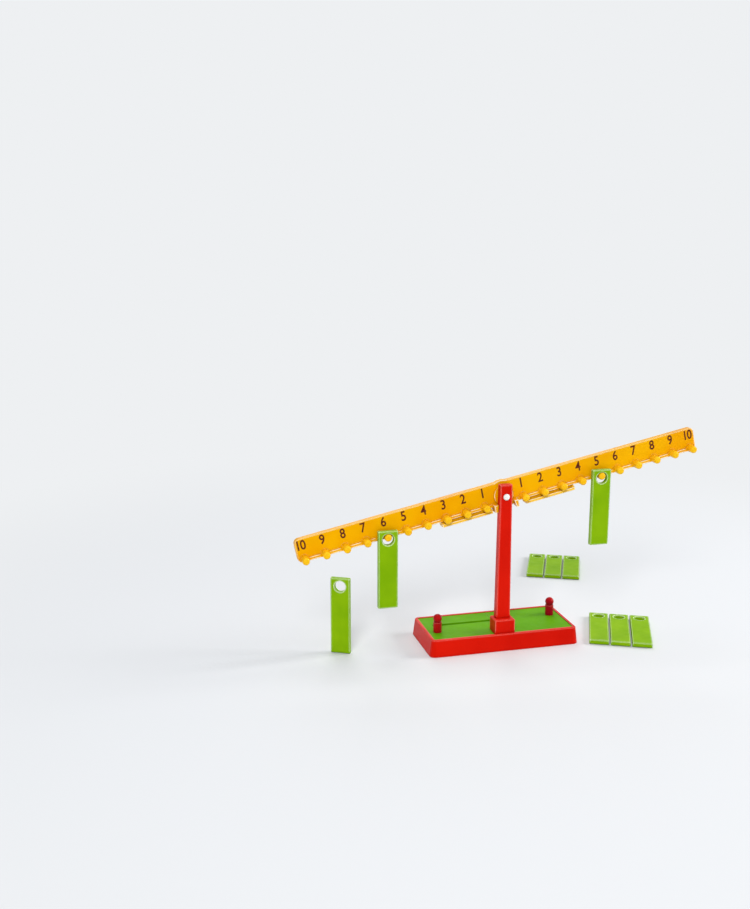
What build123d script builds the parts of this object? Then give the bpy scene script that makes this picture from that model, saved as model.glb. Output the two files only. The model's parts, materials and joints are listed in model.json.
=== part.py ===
from build123d import *
import math
import os

# Places of the main pieces. The origin is the middle of the base's underside.
pivot_height = 95.0
rest_tilt = 12.3
beam_plane_y = -7.0
run_gap = 0.3
fit_gap = 0.1
slide_gap = 0.15
press_gap = 0.02
overrun = 1.0

# Base tray
base_length = 93.0
base_depth = 40.0
base_height = 10.4
base_flare = 1.3
base_corner_radius = 2.5
wall_thickness = 1.7
floor_thickness = 2.0
rim_chamfer = 0.4
ledge_width = 1.2
rib_thickness = 1.6
rib_columns = 4
deck_drop = 0.4

# Collar that holds the pillar's foot
collar_width = 12.6
collar_depth = 9.6
collar_rise = 8.4
collar_chamfer = 0.5
socket_floor = 3.0

# Deck plates
deck_thickness = 2.0
deck_seam = 0.2
deck_groove_width = 3.2
deck_groove_depth = 1.1
deck_groove_back = 4.5

# Posts: a ball on a narrow neck above a thicker barrel, and a thinner root in the tray
post_from_end = 7.5
post_off_middle = 5.5
post_rise = 11.4
barrel_radius = 2.6
barrel_height = 6.6
barrel_edge = 0.3
ball_radius = 2.7
neck_radius = 2.0
root_radius = 2.1
post_boss_radius = 5.0

# Pillar
pillar_top_width = 7.5
pillar_foot_width = 9.3
pillar_thickness = 4.2
pillar_above_pivot = 7.3
pillar_edge = 0.4

# Pivot pin and its rear cap
pin_radius = 1.45
pin_run_gap = 0.05
pin_head_radius = 1.95
pin_head_height = 1.3
pin_tail = 1.2
cap_radius = 3.2
cap_thickness = 2.4
cap_edge = 0.5

# Beam
beam_length = 258.0
beam_height = 14.7
beam_above_pivot = 8.35
beam_thickness = 3.4
beam_corner_radius = 3.2
beam_edge_radius = 0.5
band_height = 2.4
band_proud = 0.6
hub_radius = 9.0
boss_radius = 6.0
hub_proud = 1.5
lug_top = -4.2
lug_bottom = -8.6
lug_outer = 7.7
lug_reach = 4.3

# Pegs
peg_count = 10
peg_end_margin = 4.0
peg_drop = 4.6
peg_radius = 2.2
peg_reach = 5.2
peg_dome = 1.2
peg_seat_radius = 2.8
spigot_radius = 1.5
spigot_length = 2.8

# Sliders under the beam's lower edge
slider_length = 32.0
slider_inner = 8.6
slider_travel = 4.6
slider_wall = 1.0
slider_rear_wall = 1.2
slider_below = 2.9
slider_lip_gap = 0.35
slider_rear_top = -2.2
slider_edge = 0.3
slot_floor = 1.8
slot_depth = 2.4
slot_end = 1.5
groove_top = -2.7
groove_height = 1.6
groove_depth = 0.6
groove_spare = 0.5
bead_slope = 0.3

# Weights
weight_length = 47.5
weight_width = 12.0
weight_thickness = 3.0
weight_edge = 0.5
hole_radius = 3.4
hole_from_end = 5.2
hole_chamfer = 0.3
hang_gap = 0.05
hang_plane = 5.0
hung_left_count = 6
hung_right_count = 5

# Loose weights on the table
row_gap = 1.0
row_count = 3
rear_row_x = 91.0
rear_row_y = 118.0
front_row_x = 81.0
front_row_y = -10.0
row_heading = -25.0
single_x = -98.0
single_y = 1.0
single_heading = -28.0

# Sizes that follow from the ones above
plate_half = beam_thickness / 2
lower_edge = beam_above_pivot - beam_height
beam_mid = beam_above_pivot - beam_height / 2
peg_pitch = (beam_length / 2 - peg_end_margin) / peg_count
post_x = base_length / 2 - post_from_end
band_front = -(plate_half + band_proud)
hub_half = plate_half + hub_proud
pillar_back_y = beam_plane_y - hub_half - run_gap
pillar_front_y = pillar_back_y - pillar_thickness
pillar_top = pivot_height + pillar_above_pivot
collar_front_y = -base_depth / 2 + wall_thickness
collar_back_y = collar_front_y + collar_depth
collar_top = base_height + collar_rise
deck_top = base_height - deck_drop
deck_underside = deck_top - deck_thickness
inner_length = base_length - 2 * wall_thickness
inner_depth = base_depth - 2 * wall_thickness
deck_corner_radius = base_corner_radius - wall_thickness
hole_to_foot = weight_length - hole_from_end
row_pitch = weight_width + row_gap


def slab(outline, front, back):
    """A flat shape drawn as seen from the front, filled from one depth to another."""
    return extrude(Plane.XZ.offset(-back) * outline, amount=back - front)


def rod(radius, front, back):
    """A round bar along the depth."""
    return slab(Circle(radius), front, back)


def pillar_half_width(height):
    """Half the pillar's width at a height above the table."""
    share = (pillar_top - height) / (pillar_top - socket_floor)
    return (pillar_top_width + share * (pillar_foot_width - pillar_top_width)) / 2


def on_beam(shape):
    """Takes a shape from the beam's own level frame to the tilted rest position."""
    return Location((0, beam_plane_y, pivot_height), (0, -rest_tilt, 0)) * shape


def beam_point(along, above):
    """Place on the tilted beam as X and Z."""
    tilt = math.radians(rest_tilt)
    x = along * math.cos(tilt) - above * math.sin(tilt)
    z = pivot_height + along * math.sin(tilt) + above * math.cos(tilt)
    return x, z


def rounded_box(length, depth, height, radius, floor=0):
    """Upright box with rounded corners that starts at a height."""
    return Pos(0, 0, floor) * extrude(RectangleRounded(length, depth, radius), amount=height)


def base_tray():
    foot_length = base_length + 2 * base_flare
    foot_depth = base_depth + 2 * base_flare
    foot = RectangleRounded(foot_length, foot_depth, base_corner_radius + base_flare)
    rim = Pos(0, 0, base_height) * RectangleRounded(base_length, base_depth, base_corner_radius)
    body = loft([foot, rim])
    body = chamfer(body.faces().sort_by(Axis.Z)[-1].edges(), rim_chamfer)

    # Upper recess for the decks and the cells between the ribs below them
    recess_height = base_height - deck_underside + overrun
    body -= rounded_box(inner_length, inner_depth, recess_height, deck_corner_radius, deck_underside)
    cell_length = (inner_length - 2 * ledge_width - (rib_columns - 1) * rib_thickness) / rib_columns
    cell_depth = (inner_depth - 2 * ledge_width - rib_thickness) / 2
    cell_height = deck_underside - floor_thickness + overrun
    cell_z = floor_thickness + cell_height / 2
    for column in range(rib_columns):
        x = (column - (rib_columns - 1) / 2) * (cell_length + rib_thickness)
        for side in (-1, 1):
            y = side * (cell_depth + rib_thickness) / 2
            body -= Pos(x, y, cell_z) * Box(cell_length, cell_depth, cell_height)

    # Collar with its socket, and a round boss under each post
    collar_mid = (collar_front_y + collar_back_y) / 2
    collar_height = collar_top - floor_thickness
    collar = Box(collar_width, collar_depth, collar_height)
    top_edges = collar.faces().sort_by(Axis.Z)[-1].edges()
    collar = chamfer(top_edges, collar_chamfer)
    body += Pos(0, collar_mid, floor_thickness + collar_height / 2) * collar
    boss_height = deck_underside - floor_thickness
    for side in (-1, 1):
        boss = extrude(Circle(post_boss_radius), amount=boss_height)
        bore = extrude(Circle(root_radius + fit_gap), amount=boss_height + overrun)
        body += Pos(side * post_x, side * post_off_middle, floor_thickness) * boss
        body -= Pos(side * post_x, side * post_off_middle, floor_thickness) * bore
    socket_width = pillar_foot_width + 2 * fit_gap
    socket_depth = pillar_thickness + 2 * fit_gap
    socket_height = collar_top - socket_floor + overrun
    socket_y = (pillar_front_y + pillar_back_y) / 2
    socket = Box(socket_width, socket_depth, socket_height)
    body -= Pos(0, socket_y, socket_floor + socket_height / 2) * socket
    return body


def deck(side):
    """One deck plate: side is -1 for the left plate and 1 for the right one."""
    length = inner_length / 2 - fit_gap - deck_seam / 2
    depth = inner_depth - 2 * fit_gap
    mid_x = side * (deck_seam / 2 + length / 2)
    plate = Box(length, depth, deck_thickness)
    outer_corners = plate.edges().filter_by(Axis.Z).group_by(Axis.X)[0 if side < 0 else -1]
    plate = fillet(outer_corners, deck_corner_radius)
    plate = Pos(mid_x, 0, deck_underside + deck_thickness / 2) * plate
    notch_width = collar_width + 2 * fit_gap
    notch_depth = collar_depth + fit_gap + overrun
    notch_y = collar_back_y + fit_gap - notch_depth / 2
    plate -= Pos(0, notch_y, deck_top) * Box(notch_width, notch_depth, 2 * deck_thickness + overrun)
    hole = extrude(Circle(root_radius + fit_gap), amount=deck_thickness + 2 * overrun)
    plate -= Pos(side * post_x, side * post_off_middle, deck_underside - overrun) * hole
    if side < 0:
        groove_length = post_x - deck_seam / 2 + overrun
        groove = Box(groove_length, deck_groove_width, 2 * deck_groove_depth)
        plate -= Pos(-post_x + groove_length / 2, deck_groove_back, deck_top) * groove
    return plate


def post(side):
    """Round post on the deck, its root in the tray's boss: the left one stands nearer the front."""
    root = extrude(Circle(root_radius), amount=deck_top - floor_thickness + overrun)
    barrel = extrude(Circle(barrel_radius), amount=barrel_height)
    barrel = fillet(barrel.faces().sort_by(Axis.Z)[-1].edges(), barrel_edge)
    neck = extrude(Circle(neck_radius), amount=post_rise - barrel_height - ball_radius)
    ball = Pos(0, 0, deck_top + post_rise - ball_radius) * Sphere(ball_radius)
    body = Pos(0, 0, floor_thickness) * root + Pos(0, 0, deck_top) * barrel
    body += Pos(0, 0, deck_top + barrel_height) * neck + ball
    return Pos(side * post_x, side * post_off_middle, 0) * body


def pillar():
    half_top = pillar_top_width / 2
    half_foot = pillar_foot_width / 2
    outline = Polyline(
        (-half_foot, socket_floor),
        (half_foot, socket_floor),
        (half_top, pillar_top),
        (-half_top, pillar_top),
        close=True,
    )
    bar = slab(make_face(outline), pillar_front_y, pillar_back_y)
    front_edges = bar.faces().sort_by(Axis.Y)[0].edges().sort_by(Axis.Z)
    bar = chamfer(front_edges[1:], pillar_edge)
    hole = rod(pin_radius + pin_run_gap, pillar_front_y - overrun, pillar_back_y + overrun)
    return bar - Pos(0, 0, pivot_height) * hole


def pivot_pin():
    tail = beam_plane_y + hub_half + run_gap + cap_thickness - pin_tail
    shank = rod(pin_radius, pillar_front_y - overrun / 2, tail)
    head = rod(pin_head_radius, pillar_front_y - pin_head_height, pillar_front_y)
    rim = head.faces().sort_by(Axis.Y)[0].edges()
    head = fillet(rim, pin_head_height * 0.8)
    return Pos(0, 0, pivot_height) * (shank + head)


def pin_cap():
    front = beam_plane_y + hub_half + run_gap
    back = front + cap_thickness
    cap = rod(cap_radius, front, back)
    cap = chamfer(cap.faces().sort_by(Axis.Y)[-1].edges(), cap_edge)
    cap -= rod(pin_radius + press_gap, front - overrun, back - pin_tail)
    return Pos(0, 0, pivot_height) * cap


def lug(side):
    """Stop lug beside the pillar; its inner face lies along the pillar's side at the stop."""
    tilt = math.radians(rest_tilt)
    points = []
    for above in (lug_top, lug_bottom):
        height = pivot_height + above * math.cos(tilt)
        stand_off = pillar_half_width(height) + run_gap
        inner = (stand_off - above * math.sin(tilt)) / math.cos(tilt)
        points.append((side * inner, above))
    points.append((side * lug_outer, lug_bottom))
    points.append((side * lug_outer, lug_top))
    return slab(make_face(Polyline(*points, close=True)), -plate_half - lug_reach, 0)


def beam_outline(inset):
    """The plate's rounded outline, drawn in by an inset."""
    length = beam_length - 2 * inset
    height = beam_height - 2 * inset
    return Pos(0, beam_mid) * RectangleRounded(length, height, beam_corner_radius - inset)


def beam():
    plate = slab(beam_outline(0), -plate_half, plate_half)
    rims = plate.faces().sort_by(Axis.Y)
    plate = fillet(rims[0].edges() + rims[-1].edges(), beam_edge_radius)
    inner = beam_outline(beam_edge_radius)
    band = inner & Pos(0, lower_edge + band_height / 2) * Rectangle(beam_length, band_height)
    for side in (-1, 1):
        for number in range(1, peg_count + 1):
            band += inner & Pos(side * peg_pitch * number, -peg_drop) * Circle(peg_seat_radius)
    plate += slab(band, band_front, 0)
    plate += rod(hub_radius, -plate_half, plate_half)
    plate += rod(boss_radius, -hub_half, hub_half)
    for side in (-1, 1):
        plate += lug(side)

    # Rear groove for the sliders, sockets for the pegs and the pivot hole
    groove_length = slider_length + slider_travel + 2 * groove_spare
    groove_mid = slider_inner - groove_spare + groove_length / 2
    for side in (-1, 1):
        groove = Box(groove_length, 2 * groove_depth, groove_height)
        plate -= Pos(side * groove_mid, plate_half, groove_top - groove_height / 2) * groove
        for number in range(1, peg_count + 1):
            socket = rod(spigot_radius + press_gap, band_front - overrun, band_front + spigot_length)
            plate -= Pos(side * peg_pitch * number, 0, -peg_drop) * socket
    plate -= rod(pin_radius + pin_run_gap, -hub_half - overrun, hub_half + overrun)
    return on_beam(plate)


def peg():
    """One peg: a round bar with a domed tip and a thinner spigot behind it."""
    tip = band_front - peg_reach
    shank = rod(peg_radius, tip, band_front)
    shank = fillet(shank.faces().sort_by(Axis.Y)[0].edges(), peg_dome)
    return shank + rod(spigot_radius, band_front - overrun, band_front + spigot_length - press_gap)


def pegs(side):
    """The ten pegs of one arm."""
    places = [Pos(side * peg_pitch * number, 0, -peg_drop) for number in range(1, peg_count + 1)]
    return Compound([on_beam(place * peg()) for place in places])


def slider(side, shift):
    """Sliding channel below the pegs; shift is how far it stands out from its inner end."""
    front = band_front - slide_gap - slider_wall
    rear = plate_half + slide_gap + slider_rear_wall
    bottom = lower_edge - slider_below
    lip_top = -peg_drop - peg_radius - slider_lip_gap
    inner_rear = plate_half + slide_gap
    inner_front = band_front + slide_gap
    inner_top = lower_edge - slide_gap
    bead_tip = plate_half - groove_depth + slide_gap
    bead_top = groove_top - slide_gap
    bead_bottom = groove_top - groove_height + slide_gap
    profile = Polyline(
        (front, bottom),
        (rear, bottom),
        (rear, slider_rear_top),
        (inner_rear, slider_rear_top),
        (inner_rear, bead_top),
        (bead_tip, bead_top - bead_slope),
        (bead_tip, bead_bottom + bead_slope),
        (inner_rear, bead_bottom),
        (inner_rear, inner_top),
        (inner_front, inner_top),
        (inner_front, lip_top),
        (front, lip_top),
        close=True,
    )
    body = extrude(Plane.YZ * make_face(profile), amount=slider_length)
    long_edges = [edge for edge in body.edges().filter_by(Axis.X)
                  if edge.center().Z < bottom + press_gap]
    body = fillet(long_edges, slider_edge)

    # Long slot between the channel's floor and the beam, closed at both ends
    slot_height = slider_below - slot_floor
    slot = Box(slider_length - 2 * slot_end, 2 * slot_depth, slot_height)
    body -= Pos(slider_length / 2, front, bottom + slot_floor + slot_height / 2) * slot
    start = slider_inner + shift
    if side < 0:
        start = -start - slider_length
    return on_beam(Pos(start, 0, 0) * body)


def weight():
    """Upright strip whose hole's middle is the origin; its face looks to the front."""
    half = weight_thickness / 2
    strip = Box(weight_width, weight_thickness, weight_length)
    strip = fillet(strip.edges(), weight_edge)
    strip = Pos(0, 0, hole_from_end - weight_length / 2) * strip
    strip -= rod(hole_radius, -half - overrun, half + overrun)
    rims = [edge for edge in strip.edges().filter_by(GeomType.CIRCLE)
            if abs(edge.radius - hole_radius) < press_gap]
    return chamfer(rims, hole_chamfer)


def hung_weight(side, number):
    x, z = beam_point(side * peg_pitch * number, -peg_drop)
    drop = hole_radius - peg_radius - hang_gap
    return Pos(x, beam_plane_y - hang_plane, z - drop) * weight()


def row_weight(middle_x, middle_y, member):
    """One weight of a row that lies flat, hole end away from the viewer."""
    flat = Rot(-90, 0, 0) * Pos(0, 0, weight_length / 2 - hole_from_end) * weight()
    across = (member - (row_count + 1) / 2) * row_pitch
    flat = Pos(across, 0, weight_thickness / 2) * flat
    return Location((middle_x, middle_y, 0), (0, 0, row_heading)) * flat


def single_weight():
    return Location((single_x, single_y, hole_to_foot), (0, 0, single_heading)) * weight()


pieces = {
    "base_tray": base_tray(),
    "deck_left": deck(-1),
    "deck_right": deck(1),
    "post_left": post(-1),
    "post_right": post(1),
    "pillar": pillar(),
    "pivot_pin": pivot_pin(),
    "pin_cap": pin_cap(),
    "beam": beam(),
    "pegs_left": pegs(-1),
    "pegs_right": pegs(1),
    "slider_left": slider(-1, 0),
    "slider_right": slider(1, slider_travel),
    "weight_hung_left": hung_weight(-1, hung_left_count),
    "weight_hung_right": hung_weight(1, hung_right_count),
    "weight_single": single_weight(),
}
for member in range(1, row_count + 1):
    pieces[f"weight_rear_{member}"] = row_weight(rear_row_x, rear_row_y, member)
    pieces[f"weight_front_{member}"] = row_weight(front_row_x, front_row_y, member)

os.makedirs("parts", exist_ok=True)
for name, shape in pieces.items():
    export_step(shape, f"parts/{name}.step")
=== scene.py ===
import json
import math
import bpy
from mathutils import Matrix, Vector


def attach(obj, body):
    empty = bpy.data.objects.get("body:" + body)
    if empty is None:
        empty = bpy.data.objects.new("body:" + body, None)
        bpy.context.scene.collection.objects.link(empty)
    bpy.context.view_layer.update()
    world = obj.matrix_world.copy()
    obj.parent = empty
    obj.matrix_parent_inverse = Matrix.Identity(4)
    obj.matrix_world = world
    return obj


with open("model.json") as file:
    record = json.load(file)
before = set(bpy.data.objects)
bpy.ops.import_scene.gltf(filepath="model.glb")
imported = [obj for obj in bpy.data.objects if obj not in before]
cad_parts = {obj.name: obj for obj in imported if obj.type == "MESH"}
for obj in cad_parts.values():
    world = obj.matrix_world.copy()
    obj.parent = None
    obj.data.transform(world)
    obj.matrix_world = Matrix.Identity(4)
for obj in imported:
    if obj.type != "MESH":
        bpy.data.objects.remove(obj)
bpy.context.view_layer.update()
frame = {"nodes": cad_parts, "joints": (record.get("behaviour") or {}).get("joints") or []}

MILLIMETRE = 0.001

# The beam's pivot, and its tilt at rest, which is half of its way between the two stops
tilt_joint = next(joint for joint in frame["joints"] if joint["name"] == "beam_tilt")
PIVOT = Vector(tilt_joint["pos_m"])
BEAM_TILT = math.radians(tilt_joint["range_deg"][1] / 2)

# The printed scale, placed from the pivot: along the beam, above its axis and in front of it
PEGS_PER_ARM = 10
PEG_PITCH = 12.5 * MILLIMETRE
PLATE_FRONT = -1.7 * MILLIMETRE
PRINT_THICKNESS = 0.04 * MILLIMETRE
NUMERAL_HEIGHT = 6.0 * MILLIMETRE
NUMERAL_MIDDLE = 4.3 * MILLIMETRE
NUMERAL_STROKE = 0.16 * MILLIMETRE
NUMERAL_WIDTH_SHARE = 0.84
NUMERAL_CAP_SHARE = 0.7
TEN_SPACING_SHARE = 0.9
CURVE_STEPS = 6

# Widths of the painted edge highlight and recess shade, and real widths of the marks on the plastic and
# the print
HIGHLIGHT_EDGE_REACH = 1.2 * MILLIMETRE
SHADE_REACH = 2.5 * MILLIMETRE
SATIN_SPOT = 4 * MILLIMETRE
MOULD_RIPPLE = 7 * MILLIMETRE
RIPPLE_DEPTH = 0.04 * MILLIMETRE
THIN_INK_PATCH = 0.9 * MILLIMETRE
# How dark the painted shade in recesses gets, as a share of the deeper colour
PAINTED_SHADE_SHARE = 0.35
POLYSTYRENE_IOR = 1.59
SHADE_SAMPLES = 8

# The sockets of a colour mix: its share, its two colours and its result
MIX_SHARE = 0
MIX_FIRST = 6
MIX_SECOND = 7
MIX_RESULT = 2

# The table and the room, in metres; the paper fades into the backdrop from near to far
BACKDROP = "#EEF0F2"
PAPER = "#DADCDE"
SKY_LIGHT = "#F4F7FF"
SKY_STRENGTH = 0.28
PAPER_NEAR = 0.17
PAPER_FAR = 0.58
TABLE_HALF = 4
TABLE_BELOW = 0.1 * MILLIMETRE
LAMP_AIM = Vector((0, 0, 0.06))

# The camera, in metres and degrees; its frame is 750 by 909 pixels
CAMERA_PLACE = Vector((-0.2237, -0.5884, 0.2558))
CAMERA_YAW = 14.0
CAMERA_PITCH = 12.45
CAMERA_NEAR = 0.01
CAMERA_FAR = 30
FOCAL_PX = 1060
FRAME_HEIGHT_PX = 909
SENSOR_HEIGHT = 36


def linear(hex_colour):
    """Turns an sRGB hex colour into the linear one that shaders use."""
    shares = [int(hex_colour[i:i + 2], 16) / 255 for i in (1, 3, 5)]
    return [c / 12.92 if c <= 0.04045 else ((c + 0.055) / 1.055) ** 2.4 for c in shares] + [1]


def add(tree, kind, settings=None, links=None):
    """Adds a node, sets its sockets and properties, and links other nodes' outputs into it."""
    node = tree.nodes.new(kind)
    for name, value in (settings or {}).items():
        if isinstance(name, int) or name in node.inputs:
            node.inputs[name].default_value = value
        else:
            setattr(node, name, value)
    for name, output in (links or {}).items():
        tree.links.new(output, node.inputs[name])
    return node


def new_material(name):
    material = bpy.data.materials.new(name)
    material.use_nodes = True
    material.node_tree.nodes.clear()
    return material, material.node_tree


def moulded_plastic(name, colour, deep_colour, highlight_colour, roughness, flow_mm,
                    shine=0.2, highlight_strength=0.6, shade_strength=0.65):
    """Injection-moulded plastic. The melt leaves soft, slightly deeper clouds of colour, the
    mould a faint ripple and satin spots. Its rounded, open outer edges get a painted highlight
    in a paler colour, and its recesses get painted shade in a darker colour."""
    material, tree = new_material(name)
    place = add(tree, "ShaderNodeTexCoord").outputs["Object"]

    # Clouds of deeper colour as wide as the melt's flow
    flow_scale = 1 / (flow_mm * MILLIMETRE)
    flow = add(tree, "ShaderNodeTexNoise",
               {"Scale": flow_scale, "Detail": 2, "Roughness": 0.5},
               {"Vector": place})
    cloud = add(tree, "ShaderNodeMapRange",
                {"From Min": 0.35, "From Max": 0.70},
                {"Value": flow.outputs["Fac"]})
    body = add(tree, "ShaderNodeMix",
               {"data_type": "RGBA", MIX_FIRST: linear(colour), MIX_SECOND: linear(deep_colour)},
               {MIX_SHARE: cloud.outputs["Result"]})

    # Places near a corner, where a rounded normal leaves the true one; there the colour gets a painted
    # highlight
    rounded = add(tree, "ShaderNodeBevel", {"samples": SHADE_SAMPLES, "Radius": HIGHLIGHT_EDGE_REACH})
    surface = add(tree, "ShaderNodeNewGeometry")
    level = add(tree, "ShaderNodeVectorMath",
                {"operation": "DOT_PRODUCT"},
                {0: rounded.outputs["Normal"], 1: surface.outputs["Normal"]})
    corner = add(tree, "ShaderNodeMapRange",
                 {"From Min": 0.995, "From Max": 0.92, "To Max": highlight_strength},
                 {"Value": level.outputs["Value"]})

    # How open a place is: recesses get painted shade, and only open corners get the painted highlight
    openness = add(tree, "ShaderNodeAmbientOcclusion",
                   {"samples": SHADE_SAMPLES, "Distance": SHADE_REACH})
    open_place = add(tree, "ShaderNodeMapRange",
                     {"From Min": 0.80, "From Max": 0.95},
                     {"Value": openness.outputs["AO"]})
    painted_highlight = add(tree, "ShaderNodeMath",
              {"operation": "MULTIPLY"},
              {0: corner.outputs["Result"], 1: open_place.outputs["Result"]})
    # Painted shade: the more closed in a place is, the more its colour goes to a dark copy of the
    # deeper colour
    painted_shade = add(tree, "ShaderNodeMapRange",
               {"From Min": 0.20, "From Max": 0.85, "To Min": shade_strength, "To Max": 0},
               {"Value": openness.outputs["AO"]})
    painted_shade_colour = [PAINTED_SHADE_SHARE * c for c in linear(deep_colour)[:3]] + [1]
    shaded_body = add(tree, "ShaderNodeMix",
                {"data_type": "RGBA", MIX_SECOND: painted_shade_colour},
                {MIX_SHARE: painted_shade.outputs["Result"], MIX_FIRST: body.outputs[MIX_RESULT]})
    # Painted highlight: open corners take the pale highlight colour
    skin_colour = add(tree, "ShaderNodeMix",
                      {"data_type": "RGBA", MIX_SECOND: linear(highlight_colour)},
                      {MIX_SHARE: painted_highlight.outputs["Value"], MIX_FIRST: shaded_body.outputs[MIX_RESULT]})

    # Satin spots of handling
    spots = add(tree, "ShaderNodeTexNoise",
                {"Scale": 1 / SATIN_SPOT, "Detail": 4, "Roughness": 0.6},
                {"Vector": place})
    satin = add(tree, "ShaderNodeMapRange",
                {"From Min": 0.3, "From Max": 0.75,
                 "To Min": roughness - 0.05, "To Max": roughness + 0.12},
                {"Value": spots.outputs["Fac"]})

    # Ripple of the mould's polished wall
    ripple = add(tree, "ShaderNodeTexNoise",
                 {"Scale": 1 / MOULD_RIPPLE, "Detail": 1, "Roughness": 0.4},
                 {"Vector": place})
    bump = add(tree, "ShaderNodeBump",
               {"Strength": 0.6, "Distance": RIPPLE_DEPTH},
               {"Height": ripple.outputs["Fac"]})
    skin = add(tree, "ShaderNodeBsdfPrincipled",
               {"IOR": POLYSTYRENE_IOR, "Specular IOR Level": shine, "Specular Tint": linear(colour)},
               {"Base Color": skin_colour.outputs[MIX_RESULT], "Roughness": satin.outputs["Result"],
                "Normal": bump.outputs["Normal"]})
    add(tree, "ShaderNodeOutputMaterial", {}, {"Surface": skin.outputs["BSDF"]})
    return material


def printing_ink(name, colour, thin_colour):
    """Pad-printed ink: dark and satin, with small patches where the pad left it thinner."""
    material, tree = new_material(name)
    place = add(tree, "ShaderNodeTexCoord").outputs["Object"]
    pad = add(tree, "ShaderNodeTexNoise",
              {"Scale": 1 / THIN_INK_PATCH, "Detail": 3},
              {"Vector": place})
    thin = add(tree, "ShaderNodeMapRange",
               {"From Min": 0.5, "From Max": 0.75},
               {"Value": pad.outputs["Fac"]})
    ink = add(tree, "ShaderNodeMix",
              {"data_type": "RGBA", MIX_FIRST: linear(colour), MIX_SECOND: linear(thin_colour)},
              {MIX_SHARE: thin.outputs["Result"]})
    skin = add(tree, "ShaderNodeBsdfPrincipled",
               {"Roughness": 0.5, "Specular IOR Level": 0.2},
               {"Base Color": ink.outputs[MIX_RESULT]})
    add(tree, "ShaderNodeOutputMaterial", {}, {"Surface": skin.outputs["BSDF"]})
    return material


# Each plastic's own colour, its deeper clouds and the colour of the painted highlight on its edges
red_polystyrene = moulded_plastic(
    "red_moulded_polystyrene", "#D41A0A", "#C61408", "#F4887C",
    roughness=0.34, flow_mm=30, shine=0.12)
dark_red_polystyrene = moulded_plastic(
    "dark_red_moulded_polystyrene", "#B4180F", "#98101C", "#E07C74",
    roughness=0.30, flow_mm=8, shine=0.3)
amber_polystyrene = moulded_plastic(
    "amber_moulded_polystyrene", "#EEAE02", "#E89C00", "#FFFAD8",
    roughness=0.34, flow_mm=24, shine=0.35, highlight_strength=0.9, shade_strength=0.35)
pale_amber_polystyrene = moulded_plastic(
    "pale_amber_moulded_polystyrene", "#F4C018", "#F0B40C", "#FFFAD8",
    roughness=0.32, flow_mm=6, shine=0.4, highlight_strength=0.8, shade_strength=0.3)
green_polystyrene = moulded_plastic(
    "lime_moulded_polystyrene", "#86B20C", "#78A608", "#F0FAD8",
    roughness=0.42, flow_mm=16, shine=0.12, highlight_strength=0.95)
deck_green_polystyrene = moulded_plastic(
    "leaf_green_moulded_polystyrene", "#64A40E", "#58980A", "#A4CC70",
    roughness=0.50, flow_mm=20, shine=0.08, highlight_strength=0.15)
white_polyethylene = moulded_plastic(
    "white_moulded_polyethylene", "#F2F1EE", "#E8E7E2", "#FBFBFA",
    roughness=0.38, flow_mm=6)
maroon_ink = printing_ink("maroon_printing_ink", "#581C06", "#8A440E")

# The plastic of each piece; every other piece is a lime green weight
finishes = {
    "base_tray": red_polystyrene,
    "pillar": red_polystyrene,
    "post_left": dark_red_polystyrene,
    "post_right": dark_red_polystyrene,
    "deck_left": deck_green_polystyrene,
    "deck_right": deck_green_polystyrene,
    "pivot_pin": white_polyethylene,
    "pin_cap": white_polyethylene,
    "beam": amber_polystyrene,
    "pegs_left": pale_amber_polystyrene,
    "pegs_right": pale_amber_polystyrene,
    "slider_left": pale_amber_polystyrene,
    "slider_right": pale_amber_polystyrene,
}


def finish_nodes():
    """Gives each moulded piece its plastic."""
    for name, piece in frame["nodes"].items():
        piece.data.materials.clear()
        piece.data.materials.append(finishes.get(name, green_polystyrene))


def beam_place(along, above, forward):
    """Matrix of a place on the tilted beam whose X runs along it and whose Y runs up it."""
    return (Matrix.Translation(PIVOT) @ Matrix.Rotation(-BEAM_TILT, 4, "Y")
            @ Matrix.Translation((along, forward, above)) @ Matrix.Rotation(math.pi / 2, 4, "X"))


def numeral(name, number, along):
    """One printed number of the beam's scale: a thin mesh on the plate, centred on its place."""
    curve = bpy.data.curves.new(name, "FONT")
    curve.body = str(number)
    curve.size = NUMERAL_HEIGHT / NUMERAL_CAP_SHARE
    curve.resolution_u = CURVE_STEPS
    curve.extrude = PRINT_THICKNESS / 2
    curve.offset = NUMERAL_STROKE
    if number == PEGS_PER_ARM:
        curve.space_character = TEN_SPACING_SHARE
    text = bpy.data.objects.new(name + "_text", curve)
    bpy.context.scene.collection.objects.link(text)
    bpy.context.view_layer.update()
    mesh = bpy.data.meshes.new_from_object(text)
    bpy.data.objects.remove(text)

    low = min(v.co.y for v in mesh.vertices)
    high = max(v.co.y for v in mesh.vertices)
    left = min(v.co.x for v in mesh.vertices)
    right = max(v.co.x for v in mesh.vertices)
    middle = Vector(((left + right) / 2, (low + high) / 2, 0))
    growth = NUMERAL_HEIGHT / (high - low)
    shape = Matrix.Diagonal((growth * NUMERAL_WIDTH_SHARE, growth, 1, 1))
    mesh.transform(shape @ Matrix.Translation(-middle))
    mesh.materials.clear()
    mesh.materials.append(maroon_ink)
    piece = bpy.data.objects.new(name, mesh)
    bpy.context.scene.collection.objects.link(piece)
    piece.matrix_world = beam_place(along, NUMERAL_MIDDLE, PLATE_FRONT - PRINT_THICKNESS / 2)
    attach(piece, "beam")


def scale_numerals():
    for number in range(1, PEGS_PER_ARM + 1):
        numeral(f"numeral_left_{number}", number, -PEG_PITCH * number)
        numeral(f"numeral_right_{number}", number, PEG_PITCH * number)


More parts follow.
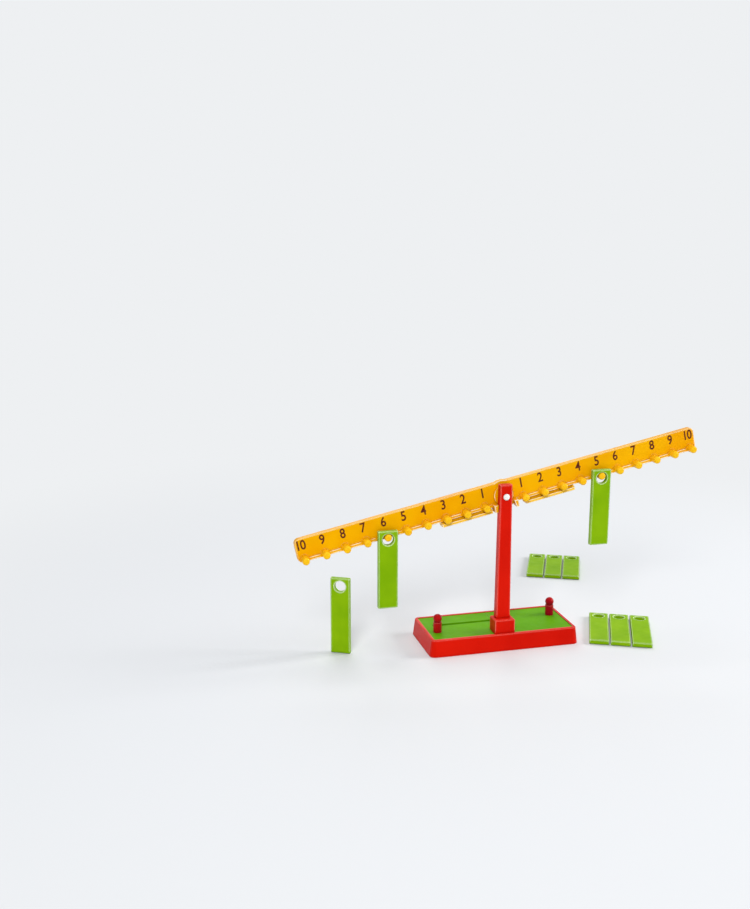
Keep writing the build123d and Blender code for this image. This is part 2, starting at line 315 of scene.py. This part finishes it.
def table_paper():
    """Pale matt paper that keeps the shadows; well away from the balance it fades, as seen,
    into the even backdrop."""
    material, tree = new_material("pale_table_paper")
    paper = add(tree, "ShaderNodeBsdfPrincipled", {"Base Color": linear(PAPER), "Roughness": 0.8})
    far = add(tree, "ShaderNodeEmission", {"Color": linear(BACKDROP), "Strength": 1})
    place = add(tree, "ShaderNodeTexCoord").outputs["Object"]
    reach = add(tree, "ShaderNodeVectorMath", {"operation": "LENGTH"}, {0: place})
    fade = add(tree, "ShaderNodeMapRange",
               {"interpolation_type": "SMOOTHSTEP", "From Min": PAPER_NEAR, "From Max": PAPER_FAR},
               {"Value": reach.outputs["Value"]})
    path = add(tree, "ShaderNodeLightPath")
    share = add(tree, "ShaderNodeMath",
                {"operation": "MULTIPLY"},
                {0: path.outputs["Is Camera Ray"], 1: fade.outputs["Result"]})
    mix = add(tree, "ShaderNodeMixShader", {},
              {0: share.outputs["Value"], 1: paper.outputs["BSDF"], 2: far.outputs["Emission"]})
    add(tree, "ShaderNodeOutputMaterial", {}, {"Surface": mix.outputs["Shader"]})
    return material


def table_top():
    """The pale table that the balance stands on, just under its base."""
    mesh = bpy.data.meshes.new("table_top")
    corners = [(x * TABLE_HALF, y * TABLE_HALF, 0) for x, y in ((-1, -1), (1, -1), (1, 1), (-1, 1))]
    mesh.from_pydata(corners, [], [(0, 1, 2, 3)])
    mesh.materials.append(table_paper())
    table = bpy.data.objects.new("table_top", mesh)
    table.location.z = -TABLE_BELOW
    bpy.context.scene.collection.objects.link(table)


def even_sky():
    """Faint light from all around, and the even pale backdrop that the camera sees."""
    world = bpy.data.worlds.new("even_sky")
    world.use_nodes = True
    bpy.context.scene.world = world
    sky = world.node_tree
    sky.nodes.clear()
    light = add(sky, "ShaderNodeBackground", {"Color": linear(SKY_LIGHT), "Strength": SKY_STRENGTH})
    seen = add(sky, "ShaderNodeBackground", {"Color": linear(BACKDROP), "Strength": 1})
    path = add(sky, "ShaderNodeLightPath")
    mix = add(sky, "ShaderNodeMixShader", {},
              {0: path.outputs["Is Camera Ray"], 1: light.outputs["Background"],
               2: seen.outputs["Background"]})
    add(sky, "ShaderNodeOutputWorld", {}, {"Surface": mix.outputs["Shader"]})


def soft_lamps():
    """Four broad lamps turned to the balance: where each stands, how wide it is and its watts."""
    lamps = {
        "key_lamp": ((-0.80, -1.70, 1.35), 0.80, 33),
        "right_lamp": ((1.70, -0.18, 0.90), 0.80, 26),
        "back_lamp": ((0.18, 1.80, 1.35), 1.20, 10),
        "top_lamp": ((-0.05, 0.50, 2.00), 0.90, 10),
    }
    for name, (place, width, power) in lamps.items():
        data = bpy.data.lights.new(name, "AREA")
        data.size = width
        data.energy = power
        lamp = bpy.data.objects.new(name, data)
        lamp.location = place
        lamp.rotation_mode = "QUATERNION"
        lamp.rotation_quaternion = (LAMP_AIM - Vector(place)).to_track_quat("-Z", "Y")
        lamp.visible_camera = False
        bpy.context.scene.collection.objects.link(lamp)


def camera():
    """Camera at the photograph's viewing angle."""
    yaw = math.radians(CAMERA_YAW)
    pitch = math.radians(CAMERA_PITCH)
    ahead = Vector((math.sin(yaw) * math.cos(pitch), math.cos(yaw) * math.cos(pitch), -math.sin(pitch)))
    data = bpy.data.cameras.new("camera")
    # The frame stands upright, so the sensor's set side spans its height
    data.sensor_width = SENSOR_HEIGHT
    data.lens = FOCAL_PX * SENSOR_HEIGHT / FRAME_HEIGHT_PX
    data.clip_start = CAMERA_NEAR
    data.clip_end = CAMERA_FAR
    view = bpy.data.objects.new("camera", data)
    view.location = CAMERA_PLACE
    view.rotation_mode = "QUATERNION"
    view.rotation_quaternion = ahead.to_track_quat("-Z", "Y")
    bpy.context.scene.collection.objects.link(view)
    bpy.context.scene.camera = view


finish_nodes()
scale_numerals()
table_top()
even_sky()
soft_lamps()
camera()

bpy.context.scene.view_settings.view_transform = "Standard"
